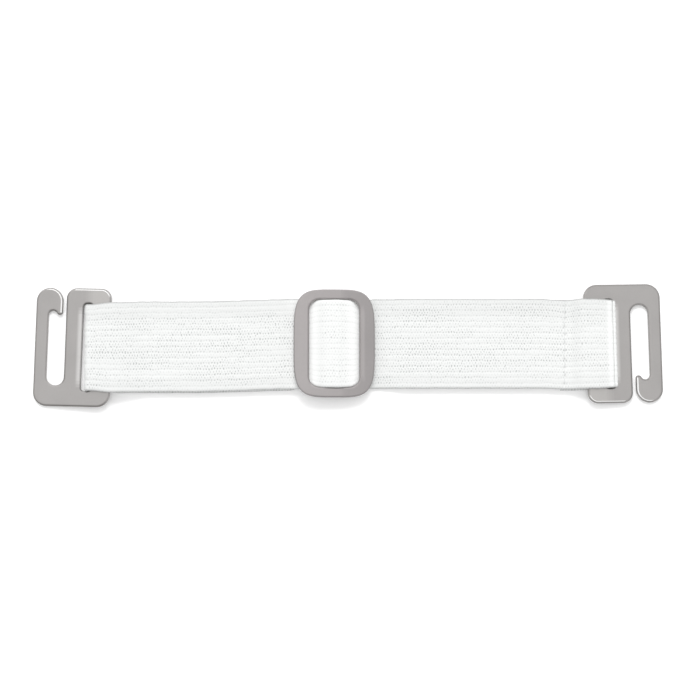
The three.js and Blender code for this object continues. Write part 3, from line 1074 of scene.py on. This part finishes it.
def band_mesh(sizes, slide, hooks):
    """The closed strip, a ribbed section lofted through its stations, and what its points carry."""
    stations = band_stations(band_route(sizes, slide, hooks))
    x, z, dx, dz, width, lean, side, in_window, along = (column[:, None] for column in stations.T)
    from_slide = x - slide.x / MM
    past_left, past_right = hooks.left_x / MM - x, x - hooks.right_x / MM
    reach = window_reach(slide, from_slide) - 0.05 * (slide.y / MM - sway(x))
    width = np.where(in_window > 0, np.minimum(width, 2 * reach), width)
    across = np.linspace(0, 1, sizes.ribs * 4 + 1)[None, :]
    y = (across - 0.5) * width

    # The section: round selvedges, and ribs that flatten where the strip is stretched.
    near_edge = width / 2 - np.abs(y)
    selvedge = np.clip(near_edge / 0.45, 0, 1)
    rounding = sizes.thickness / MM / 2 * (0.45 + 0.55 * np.sqrt(1 - (1 - selvedge) ** 2))
    ribs = 0.5 + 0.5 * np.cos(2 * math.pi * across * sizes.ribs)
    flatter = 1 - 0.6 * smooth(7.6, 6.4, np.abs(from_slide)) * (in_window > 0)
    height = rounding - sizes.furrow / MM * flatter * ribs * np.minimum(1, near_edge / 0.7)

    # The seam draws the upper ribs together, and the edges run a little uneven.
    length = along[-1, 0]
    to_end = length - along
    sewn = np.where(to_end > LOWER_LAYER, x > 55, (to_end < SEWN) * 1.0)
    drawn_in = 0.42 * bell(x, sizes.seam_x / MM, 2.3) * sewn * bell(y, 9.2, 2.0)
    edge_wave = 1 + 0.004 * waves(along, 7, 13.0, 6.3, 3.7)
    # High in the window, its near edge swells over the frame's rim and closes the gap there.
    swell = 0.16 * smooth(4.6, 2.2, np.abs(from_slide)) * (z > 3.05) * smooth(0, -10, y)
    placed_y = sway(x) + side + y * edge_wave - drawn_in - swell
    raised = relief(sizes, x, y, z, along, sewn, past_left, past_right)
    slope = np.tan(np.radians(lean))
    faces_of_strip = []
    for out in (height + raised, -height):
        place = np.broadcast_arrays(x - dz * out - slope * y, placed_y, z + dx * out)
        faces_of_strip.append(np.stack(place, axis=2))
    upper, under = faces_of_strip
    ring = both_faces(upper, under[:, ::-1]) * MM + np.array(SHIFT)
    ring[:, :, 2] = np.maximum(ring[:, :, 2], 0)  # it lies on the surface, not in it

    rows, count = ring.shape[:2]

    def carried(*values):
        """One row of these values for each point."""
        whole = [np.broadcast_to(value, (rows, count)).ravel() for value in values]
        return np.column_stack(whole)

    strength = pattern_strength(x, y, z, from_slide, past_left, past_right)
    strength = both_faces(strength, np.ones_like(strength))
    unwrapped = both_faces(across / 2, 0.5 + across / 2) * 0.98
    marks = {
        "weave": carried(along, both_faces(across, across[:, ::-1]) * sizes.width / MM, strength),
        "strip": carried(along / length, unwrapped),
        "stretched": carried(stretch(z, from_slide, past_left, past_right)),
        # Where the painted shade at the edges shows: everywhere but the slide's window.
        "outlined": carried(1 - smooth(7.6, 6.9, np.abs(from_slide)) * (z > 0.9)),
    }
    return ring.reshape(-1, 3), loft_faces(rows, count), marks, length


def loft_faces(rows, count):
    """Quads between the rings, and the two cut ends closed with strips of quads."""
    i, k = np.meshgrid(np.arange(rows - 1), np.arange(count), indexing="ij")
    a = i * count + k
    b = i * count + (k + 1) % count
    sides = np.stack([a, b, b + count, a + count], axis=2).reshape(-1, 4)
    k = np.arange(count // 2 - 1)
    start = np.stack([k, count - 1 - k, count - 2 - k, k + 1], axis=1)
    end = (rows - 1) * count + start[:, ::-1]
    return np.concatenate([sides, start, end])


def weave_pattern():
    """Staggered gaps between the threads of a ribbed weave, from (along, across) in millimetres."""
    inputs = {"Along": 0.0, "Across": 0.0, "Pick": 1.0, "Rib": 1.0}
    outputs = ("Gap", "Furrow", "Half furrow", "Height")
    tree, nodes, given, out = group("ribbed weave", inputs, outputs)
    turns, ribs = (
        nodes.times(nodes.math("DIVIDE", given[way], given[thread]), 2 * math.pi)
        for way, thread in (("Along", "Pick"), ("Across", "Rib"))
    )
    furrow = nodes.math("COSINE", ribs)
    half = nodes.math("COSINE", nodes.times(ribs, 2.0))
    crossing = nodes.times(nodes.math("COSINE", turns), furrow)
    rough = nodes.math("MULTIPLY_ADD", crossing, -0.5, 0.5)
    deeper = nodes.spread(furrow, -0.8, 0.8, 0.72, 1.06)
    nodes.fill(out, {
        "Gap": nodes.times(nodes.spread(crossing, 0.15, 1.0), deeper),
        "Furrow": furrow,
        "Half furrow": half,
        "Height": nodes.math("MULTIPLY_ADD", half, -0.22, rough),
    })
    return tree


def elastic_material(sizes):
    made, nodes, shader, place = material("white ribbed elastic")
    along, across, strength = nodes.apart(nodes.mark("weave", "Vector"))

    # The threads wander in slow drifts, and each a little by itself.
    drift = nodes.uneven(place, 210.0, -0.09, 0.09)
    loose = nodes.uneven(place, (620.0, 1500.0, 620.0), -0.13, 0.13, detail=1.0)
    sideways = nodes.uneven(place, 760.0, -0.17, 0.17, detail=1.0)
    threads = {
        "Along": nodes.plus(along, drift, loose),
        "Across": nodes.plus(across, sideways),
        "Pick": sizes.pick / MM,
        "Rib": sizes.width / MM / sizes.ribs,
    }
    weave = nodes.add("ShaderNodeGroup", threads, node_tree=weave_pattern()).outputs

    patches = nodes.spread(nodes.noise(place, (70.0, 420.0, 70.0)), 0.33, 0.67, 0.3, 1.35)
    strength = nodes.times(strength, patches)
    uneven = nodes.uneven(place, 1100.0, 0.3, 1.65, detail=1.0)
    gap = nodes.math("MULTIPLY", nodes.times(weave["Gap"], strength), uneven, clamp=True)
    fibres = nodes.noise(place, (2600.0, 5200.0, 3600.0), 3.0, 0.6)
    # Stretched parts are smoother and whiter, and painted light lifts their shade.
    yarn = nodes.mix(nodes.mark("stretched"), (*sizes.yarn_colour, 1), (*sizes.stretched_colour, 1))
    tone = nodes.mix(nodes.times(gap, 0.84), yarn, (*sizes.gap_colour, 1))
    # Painted shade in the furrows between the ribs, with uneven tone and fibres.
    light = nodes.plus(
        nodes.math("MULTIPLY_ADD", weave["Furrow"], -0.026, 1.0),
        nodes.times(weave["Half furrow"], -0.014),
        nodes.uneven(place, (28.0, 1300.0, 28.0), -0.025, 0.02),
        nodes.spread(fibres, 0.3, 0.7, -0.02, 0.02),
    )
    # Towards both edges the strip is darkened with painted shade, first a little and then as a painted
    # shade line at the selvedge itself.
    width = sizes.width / MM
    outlined = nodes.mark("outlined")
    for begins, ends, darker in (
        (width - 6.0, width - 4.0, -0.055),
        (width - 0.6, width - 0.1, -0.46),
        (4.2, 3.0, -0.035),
        (0.42, 0.0, -0.17),
    ):
        zone = nodes.spread(across, begins, ends, 0.0, darker)
        light = nodes.plus(light, nodes.times(zone, outlined))
    height = nodes.plus(nodes.times(weave["Height"], strength), nodes.times(fibres, 0.25))
    nodes.fill(shader, {
        "Base Color": nodes.dimmed(tone, light),
        "Roughness": nodes.spread(fibres, 0.3, 0.7, 0.78, 0.92),
        # The elastic glows a little of its own, a painted light that lifts its shaded parts.
        "Emission Color": (1, 1, 1, 1),
        "Emission Strength": sizes.brightener,
        "Sheen Weight": 0.12,
        "Sheen Roughness": 0.5,
        "Specular IOR Level": 0.25,
        "Normal": nodes.bump(height, 0.35, 0.06 * MM),
    })
    return made


class SleeveHolderBand(bpy.types.Operator):
    """Lays the ribbed elastic along its whole route, with its seam and its crease"""

    bl_idname = "mesh.sleeve_holder_band"
    bl_label = "Elastic strip"

    def execute(self, context):
        scene = context.scene
        sizes = scene.sleeve_holder_band
        points, faces, marks, length = band_mesh(
            sizes, scene.sleeve_holder_slide, scene.sleeve_holder_hooks
        )
        mesh = bpy.data.meshes.new("elastic_strip")
        mesh.from_pydata(points.tolist(), [], faces.tolist())
        obj = bpy.data.objects.new("elastic_strip", mesh)
        scene.collection.objects.link(obj)
        weave = mesh.attributes.new("weave", "FLOAT_VECTOR", "POINT")
        weave.data.foreach_set("vector", marks["weave"].ravel())
        for name in ("stretched", "outlined"):
            keep_values(obj, name, "POINT", marks[name].ravel())
        corners = np.zeros(len(mesh.loops), np.int32)
        mesh.loops.foreach_get("vertex_index", corners)
        layer = mesh.uv_layers.new(name="strip")
        layer.data.foreach_set("uv", marks["strip"][corners].ravel())
        shape(obj)
        bpy.ops.mesh.select_all(action="SELECT")
        bpy.ops.mesh.normals_make_consistent(inside=False)
        done()
        shade_smooth(obj, 70)
        finish_piece(obj, elastic_material(sizes), "white_elastic", "elastic_band")
        scene["sleeve_holder_strip_length"] = length * MM
        return {"FINISHED"}


# Stitches


def thread_material(sizes):
    made, nodes, shader, place = material("white sewing thread")
    inputs = {"Vector": place, "Scale": 1500.0, "Distortion": 1.5, "Detail": 1.0}
    wave = nodes.add("ShaderNodeTexWave", inputs, wave_type="BANDS", bands_direction="DIAGONAL")
    twist = wave.outputs["Fac"]
    share = nodes.spread(twist, 0.2, 1.0, 0.35, 0.0)
    nodes.fill(shader, {
        "Base Color": nodes.mix(share, (*sizes.thread_colour, 1), (*sizes.twist_colour, 1)),
        "Roughness": nodes.spread(twist, 0.0, 1.0, 0.72, 0.5),
        "Normal": nodes.bump(twist, 0.4, 0.03 * MM),
    })
    return made


def one_stitch(sizes):
    """A single stitch of thread along Y, drawn in at both ends, on the plane z = 0."""
    bpy.ops.object.select_all(action="DESELECT")
    length = sizes.stitch * 0.86
    bpy.ops.mesh.primitive_cylinder_add(
        vertices=8, radius=sizes.thread / 2, depth=length,
        rotation=(math.radians(90), 0, 0), end_fill_type="TRIFAN",
    )
    obj = bpy.context.object
    obj.name = "stitch"
    settle(obj)
    shape(obj)
    cut("Y", *(share * length for share in (-0.42, -0.3, -0.15, 0.0, 0.15, 0.3, 0.42)))
    for share, drop in ((0.5, 0.24), (0.42, 0.12), (0.3, 0.03)):
        pick(obj, "verts", lambda v: abs(abs(v.co.y) - share * length) < 0.01 * MM)
        bpy.ops.transform.translate(value=(0, 0, -drop * MM))
    done()
    return obj


class SleeveHolderStitches(bpy.types.Operator):
    """Sews the right loop with a row of stitches that shows on both faces"""

    bl_idname = "mesh.sleeve_holder_stitches"
    bl_label = "Stitches"

    def execute(self, context):
        sizes = context.scene.sleeve_holder_band
        pattern = one_stitch(sizes)
        pitch = sizes.stitch / MM
        margins = 1.4
        count = int((sizes.width / MM - margins) // pitch)
        # Above the upper layer, and half a stitch on, turned over, under the lower one.
        faces_of_row = ((0, 2.02, 0), (pitch / 2, 0.12, math.pi))
        copies = []
        for k in range(count):
            for further, z, turned in faces_of_row:
                only(pattern)
                bpy.ops.object.duplicate(linked=False)
                y = (k - (count - 1) / 2) * pitch + further
                x = float(seam_line(sizes, np.array(y)))
                place = Matrix.Translation(Vector((x, y + sway(x), z)) * MM + SHIFT)
                settle(context.object, place @ Matrix.Rotation(turned, 4, "Y"))
                copies.append(context.object)
        bpy.data.objects.remove(pattern)
        only(copies[0])
        for obj in copies:
            obj.select_set(True)
        bpy.ops.object.join()
        row = context.object
        row.name = "sewn_end_stitches"
        shade_smooth(row, 50)
        finish_piece(row, thread_material(sizes), "white_elastic")
        return {"FINISHED"}


# Stage


def soft_world(sizes):
    """Light from all round: a soft box overhead, a dimmer ring, side lights and a dark horizon."""
    world = bpy.data.worlds.new("soft light")
    world.use_nodes = True
    nodes = Nodes(world.node_tree)
    towards = nodes.add("ShaderNodeTexCoord").outputs["Generated"]
    lean = math.radians(5)
    axis = (0, math.sin(lean), math.cos(lean))
    upwards = nodes.vector("DOT_PRODUCT", {0: towards, 1: axis})["Value"]
    angle = nodes.math("DIVIDE", nodes.math("ARCCOSINE", upwards), math.pi / 2)
    ramp = nodes.add("ShaderNodeValToRGB", {"Fac": angle})
    stops = ramp.color_ramp.elements
    stops.remove(stops[1])
    for degrees, light in (
        (0, 1.0), (10, 0.94), (20, 0.64), (32, 0.58), (45, 0.80), (65, 0.84), (78, 0.36), (90, 0.18),
    ):
        stop = stops.new(degrees / 90) if degrees else stops[0]
        stop.color = (light, light, light, 1)
    # One side is brighter, as beside a window, and so the strip's shadow falls to the front.
    sideways = nodes.apart(towards)
    window = nodes.spread(sideways["Y"], 0.25, 0.75, 0.0, sizes.window)
    shade = nodes.times(
        nodes.spread(sideways["Y"], -0.7, -0.2, sizes.far_side, 1.0),
        nodes.spread(sideways["X"], 0.25, 0.5, 1.0, 0.9),
    )
    lit = nodes.dimmed(ramp.outputs["Color"], shade)
    background = world.node_tree.nodes["Background"]
    total = nodes.vector("ADD", {0: lit, 1: window})[0]
    nodes.fill(background, {"Color": total, "Strength": sizes.sky})
    return world


def pale_material(sizes):
    made, nodes, shader, place = material("pale surface")
    shade = nodes.uneven(place, 40.0, 0.99, 1.0)
    nodes.fill(shader, {
        "Base Color": nodes.dimmed(tuple(sizes.floor_colour), shade),
        "Roughness": 0.9,
        "Specular IOR Level": 0.1,
        "Emission Color": (1, 1, 1, 1),
        "Emission Strength": sizes.table,
    })
    return made


class SleeveHolderStage(bpy.types.Operator):
    """Sets the pale surface, the soft light and the camera"""

    bl_idname = "scene.sleeve_holder_stage"
    bl_label = "Stage"

    def execute(self, context):
        scene = context.scene
        sizes = scene.sleeve_holder_stage
        scene.view_settings.view_transform = "Standard"
        bpy.ops.object.select_all(action="DESELECT")

        target = Vector((0.56, -1.26, 1.0)) * MM
        away = Vector((0, -math.cos(sizes.elevation), math.sin(sizes.elevation)))
        bpy.ops.object.camera_add(
            location=target + away * sizes.distance,
            rotation=(math.pi / 2 - sizes.elevation, 0, 0),
        )
        camera = context.object
        camera.name = "camera"
        camera.data.sensor_width = 36.0
        camera.data.lens = sizes.lens
        camera.data.clip_start = 10 * MM
        scene.camera = camera

        bpy.ops.mesh.primitive_plane_add(size=6.0, location=(0, 0, 0))
        floor = context.object
        floor.name = "pale_surface"
        floor.data.materials.append(pale_material(sizes))

        lamp_at = Vector((0.0, 0.75, 0.75))
        bpy.ops.object.light_add(type="AREA", location=lamp_at)
        lamp = context.object
        lamp.name = "key_lamp"
        lamp.rotation_euler = (-lamp_at).to_track_quat("-Z", "Y").to_euler()
        lamp.data.shape = "RECTANGLE"
        lamp.data.size = 0.55
        lamp.data.size_y = 0.35
        lamp.data.energy = sizes.key
        lamp.visible_glossy = False  # the metal mirrors only the light from all round

        scene.world = soft_world(sizes)
        return {"FINISHED"}


# Panel

GROUPS = (
    ("sleeve_holder_hooks", HookSizes),
    ("sleeve_holder_slide", SlideSizes),
    ("sleeve_holder_band", BandSizes),
    ("sleeve_holder_stage", StageSizes),
)
OPERATORS = (
    SleeveHolderStage,
    SleeveHolderHooks,
    SleeveHolderSlide,
    SleeveHolderBand,
    SleeveHolderStitches,
)


class SleeveHolderPanel(bpy.types.Panel):
    """Lists the sizes, the colours and the pieces"""

    bl_idname = "VIEW3D_PT_sleeve_holder"
    bl_label = "Shirt sleeve holder"
    bl_space_type = "VIEW_3D"
    bl_region_type = "UI"
    bl_category = "Sleeve holder"

    def draw(self, context):
        for operator in OPERATORS:
            self.layout.operator(operator.bl_idname)
        for name, sizes in GROUPS:
            box = self.layout.box()
            box.label(text=sizes.__doc__)
            for key in sizes.__annotations__:
                box.prop(getattr(context.scene, name), key)


def register():
    for name, sizes in GROUPS:
        bpy.utils.register_class(sizes)
        setattr(bpy.types.Scene, name, PointerProperty(type=sizes))
    for shown in (*OPERATORS, SleeveHolderPanel):
        bpy.utils.register_class(shown)


def unregister():
    for shown in (SleeveHolderPanel, *reversed(OPERATORS)):
        bpy.utils.unregister_class(shown)
    for name, sizes in reversed(GROUPS):
        delattr(bpy.types.Scene, name)
        bpy.utils.unregister_class(sizes)


def main():
    register()
    bpy.ops.scene.sleeve_holder_stage()
    bpy.ops.mesh.sleeve_holder_hooks()
    bpy.ops.mesh.sleeve_holder_slide()
    bpy.ops.mesh.sleeve_holder_band()
    bpy.ops.mesh.sleeve_holder_stitches()


if __name__ == "__main__":
    main()
